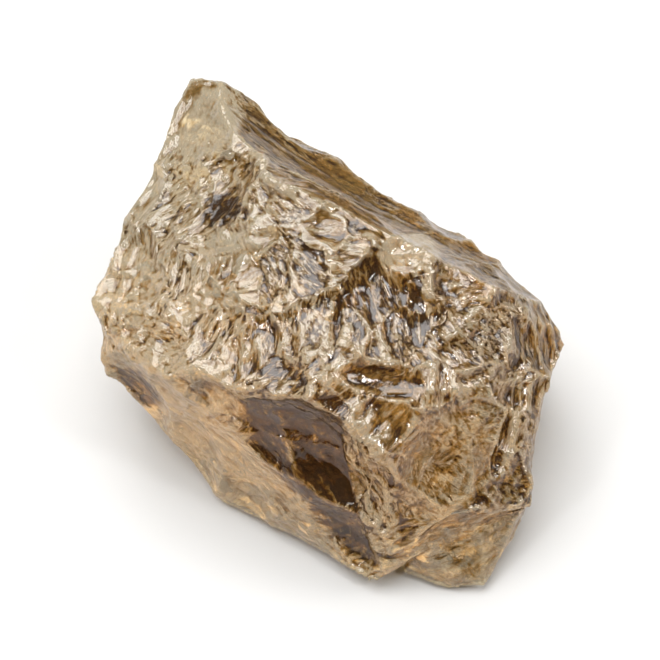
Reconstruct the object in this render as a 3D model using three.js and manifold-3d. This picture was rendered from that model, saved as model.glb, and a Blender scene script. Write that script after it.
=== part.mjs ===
// Rough smoky quartz: one broken crystal, solid throughout, resting on a flat break.
// Millimetres, +Z up. The origin is on the floor under the middle of the stone, and -Y is its front.

import * as THREE from "three";
import { ConvexGeometry } from "three/addons/geometries/ConvexGeometry.js";
import { mergeVertices } from "three/addons/utils/BufferGeometryUtils.js";
import Module from "manifold-3d";

const wasm = await Module();
wasm.setup();

// Driving dimensions
const WIDTH = 40; // left to right
const DEPTH = 42; // front to back
const HEIGHT = 26; // floor to crest
const LOOK_DOWN = THREE.MathUtils.degToRad(55); // the angle at which the front is looked at
const FACET = 2.6; // edge of the triangles that a curved break is made of

// Corners of the block before its faces broke up, as shares: across and back run from about -1 to 1,
// up from 0 to 1.
const BODY_CORNERS = {
  apexLeft: [-0.6, 0.9, 0.81],
  apexRight: [-0.46, 0.82, 0.85],
  crestTop: [-0.19, 0.15, 1.0],
  crestMiddle: [0.15, -0.03, 0.96],
  crestRight: [0.43, -0.09, 0.9],
  crestEnd: [0.68, -0.12, 0.79],
  bandBack: [-0.32, 0.88, 0.65],
  bandEnd: [0.68, 0.25, 0.54],
  rightUpper: [0.9, 0.01, 0.54],
  right: [1.02, -0.13, 0.42],
  rightFront: [0.83, -0.52, 0.42],
  rightLower: [0.93, -0.42, 0.19],
  leftUpper: [-0.93, 0.31, 0.58],
  left: [-1.02, -0.02, 0.5],
  leftLower: [-0.98, -0.2, 0.33],
  ridgeLeft: [-0.7, -0.43, 0.6],
  ridgeTop: [-0.1, -0.65, 0.77],
  archRight: [0.45, -0.58, 0.71],
  prowUpper: [0.14, -0.79, 0.63],
  prowLower: [0.27, -0.94, 0.23],
  prowTip: [0.2, -0.98, 0.06],
  ledgeLeft: [0.63, -0.86, 0.29],
  ledgeRight: [0.85, -0.72, 0.19],
  frontMiddle: [-0.46, -0.58, 0.03],
  backTop: [-0.5, 1.0, 0.39],
  backLeft: [-0.83, 0.48, 0.31],
  backRight: [0.75, 0.33, 0.27],
  backEnd: [0.95, 0.05, 0.27],
  baseLeft: [-0.6, -0.14, 0],
  baseFront: [-0.15, -0.6, 0],
  basePoint: [0.22, -0.86, 0],
  baseRight: [0.77, -0.48, 0],
  baseBackRight: [0.72, 0.14, 0],
  baseBack: [-0.15, 0.76, 0],
  baseBackLeft: [-0.5, 0.83, 0],
  baseSide: [-0.77, 0.29, 0],
};

// The tongue that stands out from under the ledge at the front right.
const FOOT_CORNERS = {
  toeLeft: [0.32, -0.93, 0.03],
  toeFront: [0.46, -0.985, 0.02],
  toeRight: [0.66, -1.0, 0.04],
  side: [0.73, -0.9, 0.08],
  heel: [0.86, -0.65, 0.13],
  instepRight: [0.82, -0.74, 0.19],
  instepLeft: [0.6, -0.85, 0.24],
  instepFront: [0.4, -0.93, 0.17],
  soleLeft: [0.4, -0.86, 0],
  soleFront: [0.62, -0.93, 0],
  soleRight: [0.78, -0.6, 0],
  rootLeft: [0.2, -0.5, 0],
  rootTop: [0.4, -0.4, 0.3],
};

// Shell-shaped breaks on the front, where the eye meets them: across and up in shares of the half width,
// length and width of the hollow in millimetres, its depth, and its turn from level in degrees.
const FRONT_BREAKS = {
  darkHollow: { across: 0.02, up: -0.66, length: 17, width: 9.5, depth: 2.2, turn: -52 },
  archedLens: { across: 0.22, up: -0.31, length: 8, width: 3.4, depth: 0.9, turn: -8 },
  apexFace: { across: -0.5, up: 0.8, length: 8, width: 6, depth: 0.3, turn: 60 },
  greyPit: { across: -0.44, up: 0.4, length: 5, width: 4, depth: 1.2, turn: 30 },
  shellArcs: { across: -0.1, up: 0.12, length: 8, width: 6, depth: 0.9, turn: 80 },
  cleft: { across: 0.04, up: -0.07, length: 7, width: 2.2, depth: 1.4, turn: 80 },
  brightFaceLeft: { across: 0.28, up: 0.22, length: 3.6, width: 2.4, depth: 0.8, turn: 75 },
  brightFaceRight: { across: 0.38, up: 0.2, length: 3.6, width: 2.4, depth: 0.8, turn: 75 },
  rightHollow: { across: 0.45, up: -0.68, length: 10, width: 8, depth: 0.8, turn: 70 },
  leftChip: { across: -0.82, up: -0.34, length: 6, width: 4, depth: 1, turn: -40 },
  rightGroove: { across: 0.73, up: -0.58, length: 7, width: 2, depth: 0.9, turn: 82 },
  streakedBand: { across: 0.02, up: 0.6, length: 36, width: 13, depth: 2.4, turn: -33 },
  lowerBand: { across: -0.4, up: -0.64, length: 24, width: 9, depth: 0.7, turn: -42 },
  footFace: { across: 0.58, up: -1.06, length: 8, width: 6, depth: 0.3, turn: 25 },
};

// Smaller breaks all over, spread evenly by the golden angle.
const HACKLES = 130;
const HACKLE_LENGTH = [6, 15]; // least and most
const SHORT_BIAS = 2; // power of the random share, so that most are short
const HACKLE_SLIMNESS = [0.5, 0.9]; // width over length
const HACKLE_DEPTH = [0.06, 0.11]; // depth over length
const HACKLE_SEED = 2;
const CLEAR_OF_FLOOR = 3; // a hackle's middle stays this high

// What the clean-up leaves: no shorter edge, and no flatter triangle.
const SHORTEST_EDGE = 0.3;
const LOWEST_TRIANGLE = 0.05;
const LEAST_LIKENESS = 0.5; // cosine of the most that a face may turn in the clean-up
const CLEANING_ROUNDS = 12;

const MIDDLE = new THREE.Vector3(0, 0, HEIGHT / 2);
const FAR = 4 * WIDTH; // well outside the stone
const EYE_RIGHT = new THREE.Vector3(1, 0, 0);
const EYE_UP = new THREE.Vector3(0, Math.sin(LOOK_DOWN), Math.cos(LOOK_DOWN));
const EYE_AHEAD = new THREE.Vector3(0, Math.cos(LOOK_DOWN), -Math.sin(LOOK_DOWN));

// The closed solid of a geometry, for joining and cutting.
function solidOf(geometry) {
  const bare = geometry.clone();
  bare.deleteAttribute("normal");
  bare.deleteAttribute("uv");
  const merged = mergeVertices(bare);
  return new wasm.Manifold(
    new wasm.Mesh({
      numProp: 3,
      vertProperties: merged.attributes.position.array,
      triVerts: new Uint32Array(merged.index.array),
    }),
  );
}

// The geometry of a solid, for drawing and for finding where a line meets it.
function geometryOf(solid) {
  const mesh = solid.getMesh();
  const geometry = new THREE.BufferGeometry();
  geometry.setAttribute("position", new THREE.BufferAttribute(mesh.vertProperties, 3));
  geometry.setIndex(new THREE.BufferAttribute(mesh.triVerts, 1));
  geometry.computeVertexNormals();
  return geometry;
}

function block(corners) {
  const points = Object.values(corners).map(
    ([across, back, up]) => new THREE.Vector3((across * WIDTH) / 2, (back * DEPTH) / 2, up * HEIGHT),
  );
  return solidOf(new ConvexGeometry(points));
}

// Where a line from outside first meets the block, and which way the face there looks.
function meet(blockMesh, from, direction) {
  const [hit] = new THREE.Raycaster(from, direction).intersectObject(blockMesh);
  return { point: hit.point, normal: hit.face.normal };
}

// An ellipsoid that cuts a hollow of the given length, width and depth into a face. Its height is a fixed
// number of depths, so every hollow has the same steepness at its rim.
const HEIGHT_IN_DEPTHS = 4;
const RIM = Math.sqrt(1 - (1 - 1 / HEIGHT_IN_DEPTHS) ** 2);

function shellCutter({ point, normal }, along, { length, width, depth }) {
  const half = new THREE.Vector3(length / 2 / RIM, width / 2 / RIM, HEIGHT_IN_DEPTHS * depth);
  const detail = Math.ceil(half.x / FACET);
  const lengthwise = along.clone().projectOnPlane(normal).normalize();
  const widthwise = new THREE.Vector3().crossVectors(normal, lengthwise);
  const middle = point.clone().addScaledVector(normal, half.z - depth);
  const place = new THREE.Matrix4().makeBasis(lengthwise, widthwise, normal).scale(half).setPosition(middle);
  return solidOf(new THREE.IcosahedronGeometry(1, detail).applyMatrix4(place));
}

// Where the eye meets the block at a front break.
function frontSpot(blockMesh, { across, up }) {
  const from = MIDDLE.clone()
    .addScaledVector(EYE_RIGHT, (across * WIDTH) / 2)
    .addScaledVector(EYE_UP, (up * WIDTH) / 2)
    .addScaledVector(EYE_AHEAD, -FAR);
  return meet(blockMesh, from, EYE_AHEAD);
}

function frontCutter(spot, shell) {
  const turn = THREE.MathUtils.degToRad(shell.turn);
  const along = EYE_RIGHT.clone().multiplyScalar(Math.cos(turn)).addScaledVector(EYE_UP, Math.sin(turn));
  return shellCutter(spot, along, shell);
}

// Repeatable random numbers from 0 to 1, by the mulberry32 recipe.
function seededRandom(seed) {
  let state = seed;
  return () => {
    state = (state + 0x6d2b79f5) | 0;
    let mixed = Math.imul(state ^ (state >>> 15), 1 | state);
    mixed = (mixed + Math.imul(mixed ^ (mixed >>> 7), 61 | mixed)) ^ mixed;
    return ((mixed ^ (mixed >>> 14)) >>> 0) / 2 ** 32;
  };
}

function hackleCutters(blockMesh, isFree) {
  const random = seededRandom(HACKLE_SEED);
  const between = ([least, most], share = random()) => least + (most - least) * share;
  const goldenAngle = Math.PI * (3 - Math.sqrt(5));
  const cutters = [];
  for (let i = 0; i < HACKLES; i++) {
    const rise = Math.acos(1 - (2 * (i + 0.5)) / HACKLES);
    const outward = new THREE.Vector3().setFromSphericalCoords(1, rise, i * goldenAngle);
    outward.set(outward.z, outward.x, outward.y);
    const from = MIDDLE.clone().addScaledVector(outward, FAR);
    const spot = meet(blockMesh, from, outward.clone().negate());
    const along = new THREE.Vector3(random() - 0.5, random() - 0.5, random() - 0.5);
    const length = between(HACKLE_LENGTH, random() ** SHORT_BIAS);
    const shell = { length, width: length * between(HACKLE_SLIMNESS), depth: length * between(HACKLE_DEPTH) };
    if (isFree(spot.point)) {
      cutters.push(shellCutter(spot, along, shell));
    }
  }
  return cutters;
}

// The triangles of a closed solid, with the faces at each point, for taking out the splinters left by cuts.
class Cleaner {
  constructor(geometry) {
    const { position } = geometry.attributes;
    const corners = geometry.index.array;
    const pointAt = (_, i) => new THREE.Vector3().fromBufferAttribute(position, i);
    this.points = Array.from({ length: position.count }, pointAt);
    this.facesAt = this.points.map(() => new Set());
    this.faces = new Set();
    for (let i = 0; i < corners.length; i += 3) {
      this.add([...corners.slice(i, i + 3)]);
    }
  }

  add(face) {
    this.faces.add(face);
    for (const corner of face) this.facesAt[corner].add(face);
  }

  remove(face) {
    this.faces.delete(face);
    for (const corner of face) this.facesAt[corner].delete(face);
  }

  neighbours(point) {
    const around = new Set([...this.facesAt[point]].flat());
    around.delete(point);
    return around;
  }

  normal([a, b, c]) {
    return THREE.Triangle.getNormal(this.points[a], this.points[b], this.points[c], new THREE.Vector3());
  }

  onFloor(point) {
    return this.points[point].z < LOWEST_TRIANGLE;
  }

  // How far the faces at a point move when it goes to another.
  shift(from, to) {
    const step = this.points[to].clone().sub(this.points[from]);
    return Math.max(...[...this.facesAt[from]].map((face) => Math.abs(this.normal(face).dot(step))));
  }

  // Moves a point to its neighbour, where that keeps the surface closed, unturned and flat on the floor.
  shrink(from, to) {
    if (this.onFloor(from) && !this.onFloor(to)) return false;
    const there = this.neighbours(to);
    const shared = [...this.neighbours(from)].filter((point) => there.has(point));
    if (shared.length !== 2) return false;
    const kept = [...this.facesAt[from]].filter((face) => !face.includes(to));
    const moved = kept.map((face) => face.map((corner) => (corner === from ? to : corner)));
    const turned = moved.some((face, i) => this.normal(face).dot(this.normal(kept[i])) < LEAST_LIKENESS);
    if (turned) return false;
    for (const face of [...this.facesAt[from]]) this.remove(face);
    for (const face of moved) this.add(face);
    return true;
  }

  // Turns the long edge of a flat triangle to the other diagonal of the two faces that share it.
  flip(face) {
    const length = (i) => this.points[face[i]].distanceTo(this.points[face[(i + 1) % 3]]);
    const longest = [0, 1, 2].reduce((best, i) => (length(i) > length(best) ? i : best));
    const [a, b, c] = [0, 1, 2].map((i) => face[(longest + i) % 3]);
    const other = [...this.facesAt[a]].find((next) => next !== face && next.includes(b));
    const d = other.find((corner) => corner !== a && corner !== b);
    if (this.neighbours(c).has(d)) return;
    const halves = [
      [a, d, c],
      [d, b, c],
    ];
    const lookout = this.normal(other);
    if (halves.some((half) => this.normal(half).dot(lookout) < LEAST_LIKENESS)) return;
    this.remove(face);
    this.remove(other);
    for (const half of halves) this.add(half);
  }

  height(face) {
    const [a, b, c] = face.map((corner) => this.points[corner]);
    const longest = Math.max(a.distanceTo(b), b.distanceTo(c), c.distanceTo(a));
    return (2 * new THREE.Triangle(a, b, c).getArea()) / longest;
  }

  shrinkShortEdges() {
    for (const face of [...this.faces]) {
      for (let i = 0; i < 3 && this.faces.has(face); i++) {
        const [one, two] = [face[i], face[(i + 1) % 3]];
        if (this.points[one].distanceTo(this.points[two]) > SHORTEST_EDGE) continue;
        const ends = this.shift(one, two) < this.shift(two, one) ? [one, two] : [two, one];
        if (!this.shrink(...ends)) this.shrink(...ends.reverse());
      }
    }
  }

  flipFlatFaces() {
    for (const face of [...this.faces]) {
      if (this.faces.has(face) && this.height(face) < LOWEST_TRIANGLE) this.flip(face);
    }
  }

  geometry() {
    const geometry = new THREE.BufferGeometry();
    const corners = [...this.faces].flat().flatMap((corner) => this.points[corner].toArray());
    geometry.setAttribute("position", new THREE.Float32BufferAttribute(corners, 3));
    return mergeVertices(geometry);
  }
}

function cleaned(geometry) {
  const cleaner = new Cleaner(geometry);
  for (let round = 0; round < CLEANING_ROUNDS; round++) {
    cleaner.shrinkShortEdges();
    cleaner.flipFlatFaces();
  }
  return cleaner.geometry();
}

function brokenStone() {
  const whole = block(BODY_CORNERS).add(block(FOOT_CORNERS));
  const blockMesh = new THREE.Mesh(geometryOf(whole));
  const breaks = Object.values(FRONT_BREAKS);
  const spots = breaks.map((shell) => frontSpot(blockMesh, shell));
  const isOutside = (point) => (spot, i) => point.distanceTo(spot.point) > breaks[i].width / 2;
  const isFree = (point) => point.z > CLEAR_OF_FLOOR && spots.every(isOutside(point));
  const cutters = [
    ...breaks.map((shell, i) => frontCutter(spots[i], shell)),
    ...hackleCutters(blockMesh, isFree),
  ];
  const broken = cleaned(geometryOf(cutters.reduce((left, cutter) => left.subtract(cutter), whole)));
  broken.computeBoundingBox();
  const { min, max } = broken.boundingBox;
  broken.translate(-(min.x + max.x) / 2, -(min.y + max.y) / 2, -min.z);
  broken.computeVertexNormals();
  return broken;
}

const quartz = new THREE.MeshStandardMaterial({
  name: "smoky_quartz",
  color: 0x8a6a42,
  roughness: 0.2,
  metalness: 0,
  transparent: true,
  opacity: 0.7,
});

const stone = new THREE.Group();
const crystal = new THREE.Mesh(brokenStone(), quartz);
crystal.name = "quartz_crystal";
stone.add(crystal);

export default stone;
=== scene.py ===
# %% [markdown]
# # A rough smoky quartz
# One broken chunk of quartz lies on a pale table. It is a single solid, so the lesson has one piece: its
# broken surface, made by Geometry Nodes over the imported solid, and its finish, a see-through brown that
# darkens with the length of the light's way through the stone.

# %% Load the frame
import math
from collections import namedtuple

import bmesh
import bpy
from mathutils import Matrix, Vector


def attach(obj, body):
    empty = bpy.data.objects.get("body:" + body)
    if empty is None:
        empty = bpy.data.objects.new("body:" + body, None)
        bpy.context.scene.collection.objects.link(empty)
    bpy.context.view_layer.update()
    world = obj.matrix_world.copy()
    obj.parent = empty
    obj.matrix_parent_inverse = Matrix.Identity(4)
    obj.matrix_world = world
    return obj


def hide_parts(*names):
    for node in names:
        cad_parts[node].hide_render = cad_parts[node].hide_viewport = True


MM = 0.001
NODE = "quartz_crystal"

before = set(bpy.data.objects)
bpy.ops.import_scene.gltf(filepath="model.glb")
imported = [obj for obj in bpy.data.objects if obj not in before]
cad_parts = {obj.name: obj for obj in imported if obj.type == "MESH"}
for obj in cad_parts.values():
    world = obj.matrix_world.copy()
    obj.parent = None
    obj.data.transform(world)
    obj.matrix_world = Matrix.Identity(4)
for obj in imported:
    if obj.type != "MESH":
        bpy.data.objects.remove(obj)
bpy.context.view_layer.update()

# %% [markdown]
# ## The camera
# The eye looks down on the stone, straight from the front, through a long lens that keeps the stone's
# outline almost free of perspective. The distance could be tried by hand; here it is worked out from the
# solid's own corners, so that the stone fills the same share of the picture whatever its size.

# %% Camera
LOOK_DOWN = math.radians(55)
LENS_MM = 180
SENSOR_MM = 36
STONE_SHARE = 0.76

eye_right = Vector((1, 0, 0))
eye_up = Vector((0, math.sin(LOOK_DOWN), math.cos(LOOK_DOWN)))
eye_back = eye_right.cross(eye_up)
corners = [vertex.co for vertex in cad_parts[NODE].data.vertices]


def span(axis):
    """Lowest and highest place of the solid along an axis."""
    places = [corner.dot(axis) for corner in corners]
    return min(places), max(places)


right_span = span(eye_right)
up_span = span(eye_up)
back_span = span(eye_back)
aim = eye_right * sum(right_span) / 2 + eye_up * sum(up_span) / 2 + eye_back * sum(back_span) / 2
tallest = max(right_span[1] - right_span[0], up_span[1] - up_span[0])
distance = tallest / STONE_SHARE * LENS_MM / SENSOR_MM

camera = bpy.data.objects.new("camera", bpy.data.cameras.new("camera"))
camera.data.lens = LENS_MM
camera.data.sensor_width = SENSOR_MM
camera.data.clip_start = 10 * MM
camera.location = aim + eye_back * distance
camera.rotation_euler = eye_back.to_track_quat("Z", "Y").to_euler()
bpy.context.scene.collection.objects.link(camera)
bpy.context.scene.camera = camera
print("camera distance, mm:", round(distance / MM))

# %% [markdown]
# ## Nodes written as sums
# A node tree is easier to read as arithmetic than as a list of links. A Wire stands for one output socket,
# and adding or multiplying wires adds Math nodes. Every other node comes from one method, which takes the
# node's type, its settings and its sockets.

# %% Node tree helpers


class Wire:
    """One output of a node, which can be used in sums."""

    def __init__(self, graph, socket):
        self.graph = graph
        self.socket = socket

    def other(self, name):
        """Another output of the same node."""
        return Wire(self.graph, self.socket.node.outputs[name])

    def __add__(self, value):
        return self.graph.math("ADD", self, value)

    def __radd__(self, value):
        return self.graph.math("ADD", value, self)

    def __sub__(self, value):
        return self.graph.math("SUBTRACT", self, value)

    def __rsub__(self, value):
        return self.graph.math("SUBTRACT", value, self)

    def __mul__(self, value):
        return self.graph.math("MULTIPLY", self, value)

    def __rmul__(self, value):
        return self.graph.math("MULTIPLY", value, self)

    def __rtruediv__(self, value):
        return self.graph.math("DIVIDE", value, self)


class Graph:
    """A node tree, for shaders and for geometry alike."""

    def __init__(self, tree):
        self.tree = tree

    def add(self, kind, settings=None, sockets=None, output=0):
        """Makes a node and gives one of its outputs, or None for a node that has none."""
        node = self.tree.nodes.new(kind)
        for name, value in (settings or {}).items():
            setattr(node, name, value)
        for name, value in (sockets or {}).items():
            if isinstance(value, Wire):
                self.tree.links.new(value.socket, node.inputs[name])
            else:
                node.inputs[name].default_value = value
        return Wire(self, node.outputs[output]) if node.outputs else None

    def math(self, operation, first, second):
        return self.add("ShaderNodeMath", {"operation": operation}, {0: first, 1: second})

    def vector(self, operation, first, second):
        return self.add("ShaderNodeVectorMath", {"operation": operation}, {0: first, 1: second})

    def dot(self, first, second):
        settings = {"operation": "DOT_PRODUCT"}
        return self.add("ShaderNodeVectorMath", settings, {0: first, 1: second}, "Value")

    def scaled(self, vector, scale):
        return self.add("ShaderNodeVectorMath", {"operation": "SCALE"}, {0: vector, "Scale": scale})

    def part(self, vector, axis):
        """One of a vector's three numbers; a colour counts as a vector."""
        return self.add("ShaderNodeSeparateXYZ", None, {"Vector": vector}, axis)

    def smooth(self, value, low, high):
        """0 below low, 1 above high, with a soft step between; low may be the larger."""
        return self.add(
            "ShaderNodeMapRange",
            {"interpolation_type": "SMOOTHSTEP"},
            {"Value": value, "From Min": low, "From Max": high},
        )

    def noise(self, vector, scale, detail=2.0, output="Fac", swirl=0.0):
        return self.add(
            "ShaderNodeTexNoise",
            {"noise_dimensions": "3D"},
            {"Vector": vector, "Scale": scale, "Detail": detail, "Distortion": swirl},
            output,
        )

    def cells(self, vector, metric):
        """Cells of unit size around scattered middles, with the way to the nearest one."""
        return self.add(
            "ShaderNodeTexVoronoi",
            {"voronoi_dimensions": "3D", "feature": "F1", "distance": metric},
            {"Vector": vector, "Scale": 1.0},
            "Distance",
        )

    def ramp(self, value, stops):
        """The colour of a value, blended between the stops on either side of it."""
        colour = self.add("ShaderNodeValToRGB", None, {"Fac": value}, "Color")
        marks = colour.socket.node.color_ramp.elements
        while len(marks) < len(stops):
            marks.new(1.0)
        for mark, (position, shade) in zip(marks, stops.items()):
            mark.position = position
            mark.color = shade
        return colour

    def store(self, geometry, name, value):
        """Geometry with a number kept at each point, which the finish reads by its name."""
        return self.add(
            "GeometryNodeStoreNamedAttribute",
            {"data_type": "FLOAT", "domain": "POINT"},
            {"Geometry": geometry, "Name": name, "Value": value},
        )


print("helpers ready:", Wire.__name__, Graph.__name__)

# %% [markdown]
# ## The rule of the break
# Quartz has no grain to split along. It breaks into shell-shaped bowls with sharp rims, and inside a bowl
# fine ridges run one way, another way in each. A sculptor would cut them one by one. Here every point
# belongs to the nearest of many scattered middles: the squared way to the middle gives bowls, and each
# middle's random number gives its ridges their direction. The form and the finish both read this rule, so
# that they agree.

# %% Bowls, facets and wisps
BREAK_INPUTS = {
    "Bowl Size": 5.0 * MM,
    "Bowl Depth": 0.24,
    "Facet Width": 1.5 * MM,
    "Facet Depth": 0.15,
    "Splinter Width": 0.60 * MM,
    "Splinter Depth": 0.13,
    "Warp": 1.1,
    "Underside Hollow": 0.7 * MM,
    "Seed": 4.0,
}
SEED_STEP = Vector((13, 29, 37)) * MM
FACET_STRETCH = 2.4
FURROW_SHIFT = (7.3, 3.1, 5.7)
MIDDLE = 0.5
MIDDLE_GREY = (MIDDLE, MIDDLE, MIDDLE)


def squeezed(graph, position, turn, stretch):
    """A place shortened one way across the view, so that a pattern read there is stretched that way."""
    run = eye_right * math.cos(math.radians(turn)) + eye_up * math.sin(math.radians(turn))
    shortened = graph.dot(position, tuple(run)) * (1 / stretch - 1)
    return graph.vector("ADD", position, graph.scaled(tuple(run), shortened))


def bowls(graph, position, given):
    """The way to the middle of the nearest bowl, in bowl sizes, and the place turned as its ridges run."""
    place = graph.vector("ADD", position, graph.scaled(tuple(SEED_STEP), given("Seed")))
    sized = graph.scaled(place, 1 / given("Bowl Size"))
    swell = graph.noise(sized, 1.0, detail=1.0, output="Color")
    drift = graph.vector("SUBTRACT", swell, MIDDLE_GREY)
    bowl = graph.cells(graph.vector("ADD", sized, graph.scaled(drift, given("Warp"))), "EUCLIDEAN")
    angle = graph.part(bowl.other("Color"), "X") * math.tau
    turned = graph.add(
        "ShaderNodeVectorRotate",
        {"rotation_type": "AXIS_ANGLE"},
        {"Vector": place, "Axis": tuple(eye_back), "Angle": angle},
    )
    return bowl, turned


def facets(graph, turned, width, depth):
    """Height of long flat facets that meet in creases, and a random number for each group of them.

    One set of cells raises ridges between them and a second set sinks furrows, so neither stands out."""
    sized = squeezed(graph, graph.scaled(turned, 1 / width), 0, FACET_STRETCH)
    ridged = graph.cells(sized, "MANHATTAN")
    furrowed = graph.cells(graph.vector("ADD", sized, FURROW_SHIFT), "MANHATTAN")
    return (ridged - furrowed) * (width * depth), graph.part(ridged.other("Color"), "X")


print("bowls are", BREAK_INPUTS["Bowl Size"] / MM, "mm wide, facets", BREAK_INPUTS["Facet Width"] / MM)

# %% [markdown]
# ## The even skin
# The solid has large flat triangles beside tiny ones, and a fine break needs points everywhere. A
# subdivision would follow those uneven triangles. A voxel remesh lays an even net of small squares over the
# whole form instead. The copy's loose triangles are merged first, so that the remesh sees one closed shell.

# %% Copy and remesh the solid
VOXEL = 0.15 * MM
MERGE = 0.001 * MM


def even_skin(source, name):
    """A copy of a CAD node as one closed shell of even squares."""
    shell = bmesh.new()
    shell.from_mesh(source.data)
    bmesh.ops.remove_doubles(shell, verts=shell.verts, dist=MERGE)
    mesh = bpy.data.meshes.new(name)
    shell.to_mesh(mesh)
    shell.free()
    skin = bpy.data.objects.new(name, mesh)
    bpy.context.scene.collection.objects.link(skin)
    remesh = skin.modifiers.new("even squares", "REMESH")
    remesh.mode = "VOXEL"
    remesh.voxel_size = VOXEL
    remesh.adaptivity = 0.0
    return skin


skin = even_skin(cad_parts[NODE], "skin")
print("triangles to start from:", len(skin.data.polygons))

# %% [markdown]
# ## The finish
# Quartz is clear, and smoke-brown quartz only dims the light on its way through. So the colour is a plain
# absorption inside the stone, and thick places come out darker by themselves. A painted brown would look
# like toffee. Fresh splinters scatter light, so wisps of crushed grain are cream, and between them the brown
# shows. Ridges are painted paler and furrows darker as well, a painted highlight and painted shade that bring
# out the relief. No two bowls broke alike, so each has its own share of wisps and its own shade, partly
# painted light for a bowl that catches the light its own way.

# %% Smoky quartz
QUARTZ_IOR = 1.544
CLARITY = 0.83
SMOKE_COLOUR = (0.62, 0.40, 0.00, 1.0)
SMOKE_DENSITY = 50.0
# From the darkest brown to the cream of crushed grain; the dark end also serves painted shade in furrows and
# dark faces, the pale end painted highlights.
GRAIN_AND_PAINTED_LIGHT_COLOURS = {
    0.00: (0.05, 0.025, 0.008, 1.0),
    0.45: (0.45, 0.265, 0.065, 1.0),
    1.00: (1.0, 0.90, 0.66, 1.0),
}
CLEAR_ROUGHNESS = 0.05
FROST_ROUGHNESS = 0.12
# How much ridges are painted paler and furrows darker: a painted highlight and painted shade.
CREST_HIGHLIGHT_AND_SHADE = 0.5
WISP_WIDTH = 0.40 * MM
WISP_STRETCH = 3.0
WISP_SWIRL = 1.2
WISP_DETAIL = 4.0
WISP_SHARE = 4.0
WISP_CALM = 0.5
WISP_DEPTH = 0.05 * MM
BOWL_CALM = 0.35
# Each bowl's random shade, partly its own colour and partly painted light for a bowl that catches the light
# its own way.
BOWL_TONE_AND_LIGHT = 0.5


def smoky_quartz():
    material = bpy.data.materials.new("broken_smoky_quartz")
    material.use_nodes = True
    graph = Graph(material.node_tree)
    graph.tree.nodes.clear()
    place = graph.add("ShaderNodeTexCoord", output="Object")
    frost = graph.add("ShaderNodeAttribute", {"attribute_name": "frost"}, output="Fac")
    tone = graph.add("ShaderNodeAttribute", {"attribute_name": "tone"}, output="Fac")
    crest = graph.add("ShaderNodeAttribute", {"attribute_name": "crest"}, output="Fac")
    bowl, turned = bowls(graph, place, BREAK_INPUTS.get)
    chance = bowl.other("Color")
    run = squeezed(graph, turned, 0, WISP_STRETCH)
    wisps = graph.noise(run, 1 / WISP_WIDTH, detail=WISP_DETAIL, swirl=WISP_SWIRL)
    bowl_share = BOWL_CALM + (1 - BOWL_CALM) / MIDDLE * graph.part(chance, "Y")
    streaky = (WISP_CALM + (1 - WISP_CALM) * frost) * bowl_share
    # Each bowl's random shade is partly painted light.
    shade = (graph.part(chance, "Z") - MIDDLE) * BOWL_TONE_AND_LIGHT
    # The crest term paints ridges paler and furrows darker: a painted highlight and painted shade.
    paleness = tone + shade * frost + crest * CREST_HIGHLIGHT_AND_SHADE + (wisps - MIDDLE) * WISP_SHARE * streaky
    bump = graph.add("ShaderNodeBump", None, {"Distance": WISP_DEPTH, "Height": wisps * streaky})
    surface = graph.add(
        "ShaderNodeBsdfPrincipled",
        None,
        {
            "Base Color": graph.ramp(paleness, GRAIN_AND_PAINTED_LIGHT_COLOURS),
            "Roughness": CLEAR_ROUGHNESS + (FROST_ROUGHNESS - CLEAR_ROUGHNESS) * frost,
            "IOR": QUARTZ_IOR,
            "Transmission Weight": CLARITY,
            "Normal": bump,
        },
    )
    smoke = graph.add("ShaderNodeVolumeAbsorption", None, {"Color": SMOKE_COLOUR, "Density": SMOKE_DENSITY})
    graph.add("ShaderNodeOutputMaterial", None, {"Surface": surface, "Volume": smoke})
    return material


quartz = smoky_quartz()
print("finish:", quartz.name, "with", len(quartz.node_tree.nodes), "nodes")

# %% [markdown]
# ## The faces of this stone
# Most of the stone is crushed at random, but some faces make it this stone and no other: a smooth streaked
# band, a long dark hollow, an arched lens, a glittering ridge. They could be painted on by hand. Here each is
# a soft ellipse, placed as the eye meets it, which says how broken and how pale the stone is there. The dark
# of the hollow, the pit, the cleft and the dark steps is painted shade, and the pale of the bright steps is a
# painted highlight.

# %% Named faces
VIEW_MIDDLE = Vector((0, 7 * MM, 0))
STREAK_WIDTH = 0.7 * MM
STREAK_STRETCH = 14
FACE_EDGE = 1.4
FACE_CORE = 0.7

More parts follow.
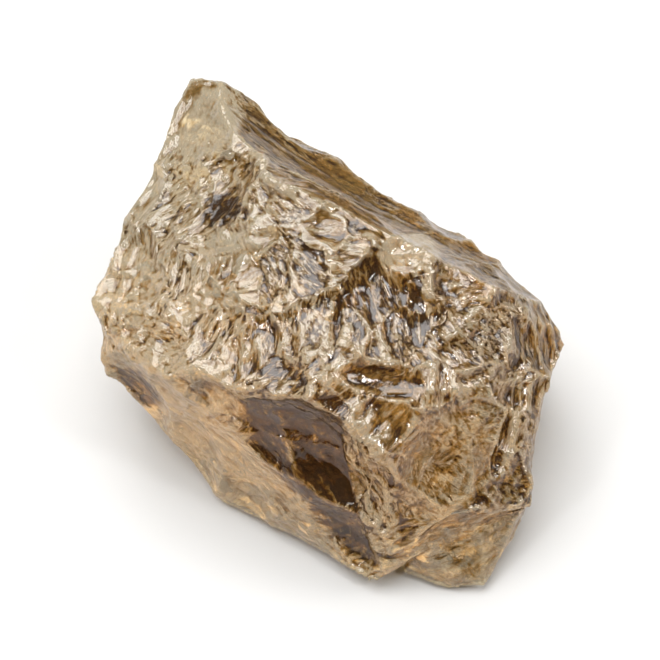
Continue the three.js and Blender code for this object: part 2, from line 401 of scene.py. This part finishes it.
# Across and up from the view's middle, length and width in millimetres, and the turn from level in degrees.
# Then how broken and how pale the face is, about 0 to 1, and the depth of its streaks in millimetres.
Face = namedtuple("Face", "across up length width turn rough tone streaks")
FACES = {
    "streaked band": Face(2.0, 12.5, 34.0, 6.5, -33.0, 0.20, 0.30, 0.22),
    "apex face": Face(-10.5, 17.5, 7.0, 5.0, 60.0, 0.30, 1.05, 0.10),
    # Painted shade: the dark pit.
    "dark pit": Face(-8.8, 9.6, 4.2, 3.0, -20.0, 0.90, 0.10, 0.05),
    "white patch": Face(-9.5, 6.2, 5.0, 2.6, 15.0, 0.80, 1.10, 0.05),
    # Painted highlight: the bright steps.
    "bright steps": Face(6.6, 6.2, 5.5, 3.0, 5.0, 0.50, 1.10, 0.10),
    # Painted shade: the dark steps, the dark cleft and the dark hollow.
    "dark steps": Face(7.6, 1.6, 6.0, 4.5, 80.0, 0.80, 0.15, 0.12),
    "dark cleft": Face(0.8, 0.2, 5.0, 1.6, 80.0, 0.80, 0.05, 0.08),
    "dark hollow": Face(-0.5, -11.5, 19.0, 8.0, -52.0, 0.30, -0.12, 0.25),
    "lower band": Face(-8.5, -12.5, 26.0, 5.5, -42.0, 0.35, 0.98, 0.22),
    "arched lens": Face(4.5, -4.6, 7.0, 2.6, -8.0, 0.12, 0.30, 0.22),
    "right hollow": Face(9.5, -12.0, 10.0, 7.0, 70.0, 0.30, 0.60, 0.12),
    "foot": Face(11.0, -20.0, 14.0, 7.0, 25.0, 0.15, 0.68, 0.10),
    "chipped corner": Face(-16.5, -5.2, 4.5, 2.4, -35.0, 0.50, 0.00, 0.05),
    "crushed ridge": Face(3.6, -13.5, 14.0, 3.2, -76.0, 1.30, 0.80, 0.10),
    "front ridge": Face(-8.0, -4.9, 15.0, 1.8, -5.0, 0.90, 0.60, 0.08),
}


def view_place(graph, position):
    """Where the eye sees a point: across and up from the view's middle, in millimetres."""
    seen = graph.vector("SUBTRACT", position, tuple(VIEW_MIDDLE))
    return graph.dot(seen, tuple(eye_right / MM)), graph.dot(seen, tuple(eye_up / MM))


def face_mask(graph, across, up, face):
    """1 inside a named face and 0 well outside it."""
    cos = math.cos(math.radians(face.turn))
    sin = math.sin(math.radians(face.turn))
    aside = across - face.across
    above = up - face.up
    along = (aside * cos + above * sin) * (2 / face.length)
    beside = (above * cos - aside * sin) * (2 / face.width)
    return graph.smooth(along * along + beside * beside, FACE_EDGE, FACE_CORE)


def face_streaks(graph, position, face):
    """Fine lines along a named face."""
    lines = graph.noise(squeezed(graph, position, face.turn, STREAK_STRETCH), 1 / STREAK_WIDTH)
    return (lines - MIDDLE) * (face.streaks * MM)


print("faces:", ", ".join(FACES))

# %% [markdown]
# ## The broken surface
# The tree moves each point of the even skin along its normal: bowls, then facets and splinters that run with
# the bowl's ridges, then the named faces' own streaks. It keeps three numbers for the finish at each point:
# how frosted it is, how pale, and whether it stands on a crest, which is found by comparing the point with a
# blurred surface. How pale carries painted shade on the underside, and a random shade for each facet group
# that is partly painted light.

# %% Geometry Nodes tree
LEFT_TONE = 0.92
RIGHT_TONE = 0.43
PALE_SPAN = (-13.0, 3.0)
SIDE_TONE = 0.5
# The underside's tone is painted shade: a darker base dims the light that comes up through the stone, as a
# contact shadow would.
UNDER_PAINTED_SHADE = 0.4
UNDER_FROST = 0.5
UNDER_SHARE = 0.2
SIDE_SHARE = 0.40
BACK_SHARE = 0.3
# Each facet group's random shade, partly its own colour and partly painted light.
FACET_TONE_AND_LIGHT = 0.3
CREST_REACH = 7
CREST_HEIGHT = 0.05 * MM
DOWN = (0.0, 0.0, -1.0)

# Spans of how squarely a face looks at the eye, from 1, straight at it, to -1, straight away.
OPEN_SPAN = (0.25, 0.7)
SIDE_SPAN = (0.0, 0.4)
FACING_SPAN = (0.0, 0.15)
HIDDEN_SPAN = (-0.15, -0.6)
# The same for how squarely it looks down.
UNDER_SPAN = (0.6, 0.9)


def break_tree(material):
    """The tree that turns an even skin into a broken one."""
    tree = bpy.data.node_groups.new("broken quartz", "GeometryNodeTree")
    graph = Graph(tree)
    tree.interface.new_socket("Geometry", in_out="INPUT", socket_type="NodeSocketGeometry")
    tree.interface.new_socket("Geometry", in_out="OUTPUT", socket_type="NodeSocketGeometry")
    for name, value in BREAK_INPUTS.items():
        socket = tree.interface.new_socket(name, in_out="INPUT", socket_type="NodeSocketFloat")
        socket.default_value = value
    skin = graph.add("NodeGroupInput", output="Geometry")
    given = skin.other
    position = graph.add("GeometryNodeInputPosition")
    normal = graph.add("GeometryNodeInputNormal")

    across, up = view_place(graph, position)
    toward_eye = graph.dot(normal, tuple(eye_back))
    hidden = graph.smooth(toward_eye, *HIDDEN_SPAN) * BACK_SHARE
    rough = SIDE_SHARE + (1 - SIDE_SHARE) * (graph.smooth(toward_eye, *OPEN_SPAN) + hidden)
    tone = LEFT_TONE + (RIGHT_TONE - LEFT_TONE) * graph.smooth(across, *PALE_SPAN)
    tone = SIDE_TONE + (tone - SIDE_TONE) * graph.smooth(toward_eye, *SIDE_SPAN)
    streaks = 0.0
    facing = graph.smooth(toward_eye, *FACING_SPAN)
    for face in FACES.values():
        mask = face_mask(graph, across, up, face) * facing
        rough = rough + (face.rough - rough) * mask
        tone = tone + (face.tone - tone) * mask
        streaks = face_streaks(graph, position, face) * mask + streaks
    under = graph.smooth(graph.dot(normal, DOWN), *UNDER_SPAN)
    rough = rough + (1 - rough) * under

    bowl, turned = bowls(graph, position, given)
    bowl_height = bowl * bowl * (given("Bowl Size") * given("Bowl Depth"))
    facet_height, facet_chance = facets(graph, turned, given("Facet Width"), given("Facet Depth"))
    splinter_width = given("Splinter Width")
    splinter_height, splinter_chance = facets(graph, turned, splinter_width, given("Splinter Depth"))
    fine = (facet_height + splinter_height) * (1 - under * (1 - UNDER_SHARE))
    height = (bowl_height + fine) * rough + streaks - given("Underside Hollow") * under
    # A random shade for each facet group, partly painted light for facets that catch the light their own way.
    chance = (facet_chance + splinter_chance - 1) * FACET_TONE_AND_LIGHT
    # The underside is pulled to a painted shade.
    tone = tone + chance * rough + (UNDER_PAINTED_SHADE - tone) * under

    toned = graph.store(skin, "tone", tone)
    frosted = graph.store(toned, "frost", rough + under * UNDER_FROST)
    offset = graph.scaled(normal, height)
    moved = graph.add("GeometryNodeSetPosition", None, {"Geometry": frosted, "Offset": offset})
    blurred = graph.add(
        "GeometryNodeBlurAttribute",
        {"data_type": "FLOAT_VECTOR"},
        {"Value": position, "Iterations": CREST_REACH},
    )
    crest = graph.dot(graph.vector("SUBTRACT", position, blurred), normal)
    crested = graph.store(moved, "crest", crest * (1 / CREST_HEIGHT))
    whole = graph.add("GeometryNodeRealizeInstances", None, {"Geometry": crested})
    finished = graph.add("GeometryNodeSetMaterial", None, {"Geometry": whole, "Material": material})
    graph.add("NodeGroupOutput", None, {"Geometry": finished})
    return tree


tree = break_tree(quartz)
print("tree:", tree.name, "with", len(tree.nodes), "nodes")

# %% [markdown]
# ## The stone
# The tree's inputs are set on the modifier before it first runs. A last modifier joins triangles where the
# stone is smooth and spares the creases. The result is taken off as a plain mesh, which is all that an
# exported model can hold, and any point that sank under the table is put back on it.

# %% Break the skin and keep it as a mesh
KEPT_SHARE = 0.38
RIM_ANGLE = math.radians(24)


def broken_stone(skin, tree, inputs, name):
    breaking = skin.modifiers.new("breaks", "NODES")
    breaking.node_group = tree
    sockets = {item.name: item.identifier for item in tree.interface.items_tree if item.in_out == "INPUT"}
    for label, value in inputs.items():
        breaking[sockets[label]] = value
    skin.modifiers.new("fewer triangles", "DECIMATE").ratio = KEPT_SHARE
    evaluated = skin.evaluated_get(bpy.context.evaluated_depsgraph_get())
    mesh = bpy.data.meshes.new_from_object(evaluated)
    mesh.name = name
    bpy.data.objects.remove(skin)
    for vertex in mesh.vertices:
        vertex.co.z = max(vertex.co.z, 0.0)
    mesh.shade_smooth()
    mesh.set_sharp_from_angle(angle=RIM_ANGLE)
    stone = bpy.data.objects.new(name, mesh)
    bpy.context.scene.collection.objects.link(stone)
    return stone


stone = broken_stone(skin, tree, BREAK_INPUTS, "broken_quartz")
triangles = sum(len(face.vertices) - 2 for face in stone.data.polygons)
print("stone:", triangles, "triangles, finish", [material.name for material in stone.data.materials])

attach(stone, "root")
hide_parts(NODE)

# %% [markdown]
# ## Table and light
# Clear stone shows what stands around it, so the light is half of its look. A table, whose middle grey this
# light turns white, and a wide soft box overhead give the pale glow, and two small strong lights make the
# splinters glitter. The dark side is where the eye is, and it gives the browns their depth.

# %% Table
TABLE_SIZE = 1.6
TABLE_GAP = 0.05 * MM
TABLE_COLOUR = (0.42, 0.42, 0.42, 1.0)
TABLE_ROUGHNESS = 0.6


def white_table():
    material = bpy.data.materials.new("white_table")
    material.use_nodes = True
    surface = material.node_tree.nodes["Principled BSDF"]
    surface.inputs["Base Color"].default_value = TABLE_COLOUR
    surface.inputs["Roughness"].default_value = TABLE_ROUGHNESS
    half = TABLE_SIZE / 2
    corners = [(-half, -half), (half, -half), (half, half), (-half, half)]
    mesh = bpy.data.meshes.new("table")
    mesh.from_pydata([(x, y, -TABLE_GAP) for x, y in corners], [], [(0, 1, 2, 3)])
    mesh.materials.append(material)
    table = bpy.data.objects.new("table", mesh)
    bpy.context.scene.collection.objects.link(table)
    return table


print("table:", white_table().dimensions[:2])

# %% Lights
# Where each square light stands and its side, in metres, and its power in watts.
Softbox = namedtuple("Softbox", "place side power")
SOFTBOXES = {
    "key": Softbox((-0.12, 0.08, 0.48), 0.60, 7.0),
    "fill": Softbox((0.42, 0.05, 0.30), 0.20, 1.2),
    "left sparkle": Softbox((-0.35, -0.30, 0.40), 0.06, 0.8),
    "right sparkle": Softbox((0.30, -0.15, 0.45), 0.06, 0.8),
}
TENT_COLOUR = (1.0, 0.88, 0.68, 1.0)
TENT_TOP = 0.25
TENT_BACK = 0.4
TENT_FRONT = 0.04
TENT_BACK_SPAN = (-0.7, 0.5)
TENT_TOP_SPAN = (0.12, 0.85)
BOUNCES = 24


def softbox(name, box):
    """A square area light that looks at the stone."""
    light = bpy.data.lights.new(name, "AREA")
    light.size = box.side
    light.energy = box.power
    lamp = bpy.data.objects.new(name, light)
    lamp.location = box.place
    lamp.rotation_euler = Vector(box.place).to_track_quat("Z", "Y").to_euler()
    bpy.context.scene.collection.objects.link(lamp)


def light_tent():
    """A world that is bright behind, dim above and dark in front."""
    world = bpy.data.worlds.new("light tent")
    bpy.context.scene.world = world
    world.use_nodes = True
    graph = Graph(world.node_tree)
    graph.tree.nodes.clear()
    toward = graph.add("ShaderNodeTexCoord", output="Generated")
    back = graph.smooth(graph.part(toward, "Y"), *TENT_BACK_SPAN)
    top = graph.smooth(graph.part(toward, "Z"), *TENT_TOP_SPAN)
    side = TENT_FRONT + (TENT_BACK - TENT_FRONT) * back
    strength = side + (TENT_TOP - side) * top
    sky = graph.add("ShaderNodeBackground", None, {"Color": TENT_COLOUR, "Strength": strength})
    graph.add("ShaderNodeOutputWorld", None, {"Surface": sky})


light_tent()
for name, box in SOFTBOXES.items():
    softbox(name, box)
view = bpy.context.scene.view_settings
view.view_transform = "Standard"
view.look = "None"
cycles = bpy.context.scene.cycles
cycles.max_bounces = BOUNCES
cycles.transmission_bounces = BOUNCES
cycles.transparent_max_bounces = BOUNCES
print("lights:", ", ".join(SOFTBOXES))
